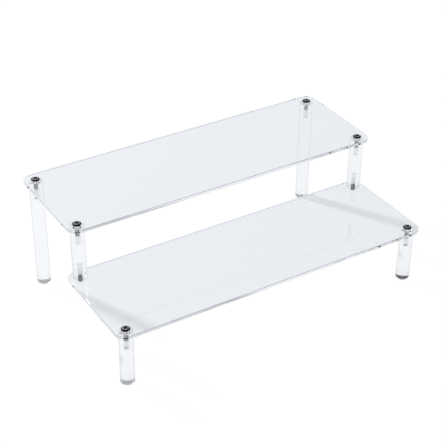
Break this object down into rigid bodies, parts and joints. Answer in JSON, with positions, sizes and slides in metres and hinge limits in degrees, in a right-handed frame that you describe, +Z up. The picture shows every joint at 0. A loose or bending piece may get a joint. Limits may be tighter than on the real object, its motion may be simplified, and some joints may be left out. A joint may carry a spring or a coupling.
{
  "type": "tiered shelf riser",
  "caption": "Stepped shelf riser in clear acrylic: a low front shelf and a high rear shelf on round screwed posts, to display or store jars and bottles.",
  "frame": {"origin": "on the floor, at the middle of the footprint", "axes": "+X along the shelves to the right seen from the front, +Y from the low front shelf to the high rear shelf, +Z up"},
  "size_m": [0.3, 0.18, 0.1087],
  "materials": {
    "clear_acrylic": "polished",
    "dark_plated_steel": "polished",
    "grey_silicone": "satin"
  },
  "bodies": {
    "root": {"upper_shelf": "clear_acrylic", "lower_shelf": "clear_acrylic", "rear_leg_left": "clear_acrylic", "rear_leg_right": "clear_acrylic", "front_leg_left": "clear_acrylic", "front_leg_right": "clear_acrylic", "riser_post_left": "clear_acrylic", "riser_post_right": "clear_acrylic", "upper_rear_screw_left": "dark_plated_steel", "upper_rear_screw_right": "dark_plated_steel", "upper_front_screw_left": "dark_plated_steel", "upper_front_screw_right": "dark_plated_steel", "lower_front_screw_left": "dark_plated_steel", "lower_front_screw_right": "dark_plated_steel", "lower_rear_screw_left": "dark_plated_steel", "lower_rear_screw_right": "dark_plated_steel", "front_foot_left": "grey_silicone", "front_foot_right": "grey_silicone", "rear_foot_left": "grey_silicone", "rear_foot_right": "grey_silicone"}
  },
  "joints": []
}
